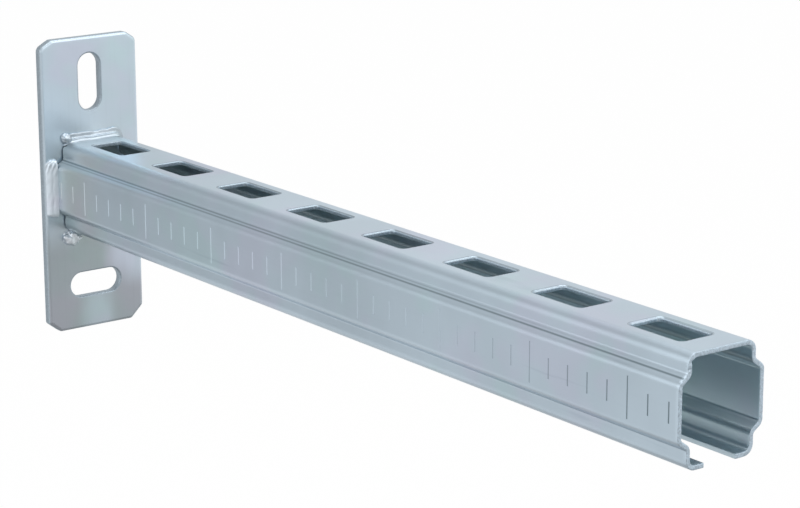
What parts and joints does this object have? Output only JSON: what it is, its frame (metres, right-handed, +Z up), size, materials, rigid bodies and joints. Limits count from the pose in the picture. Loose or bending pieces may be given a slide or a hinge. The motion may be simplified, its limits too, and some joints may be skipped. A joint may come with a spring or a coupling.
{
  "type": "cantilever strut arm",
  "caption": "Cantilever arm of slotted, stepped steel channel, open below, welded square to an upright wall plate with an upright and a level fixing slot.",
  "frame": {"origin": "middle of the wall plate's back face, level with the middle of the arm", "axes": "+X out from the wall along the arm, +Z up towards the arm's slotted web, +Y to the plain side; the graduated side faces -Y"},
  "size_m": [0.404, 0.048, 0.131],
  "materials": {
    "plate_zinc": "satin zinc plating, pale blue-grey",
    "channel_zinc": "satin zinc plating, pale blue-grey",
    "weld_metal": "bright plated weld bead"
  },
  "bodies": {
    "root": {"wall_plate": "plate_zinc", "channel": "channel_zinc", "weld_top": "weld_metal", "weld_side_near": "weld_metal", "weld_side_far": "weld_metal", "weld_tack_near": "weld_metal", "weld_tack_far": "weld_metal"}
  },
  "joints": []
}
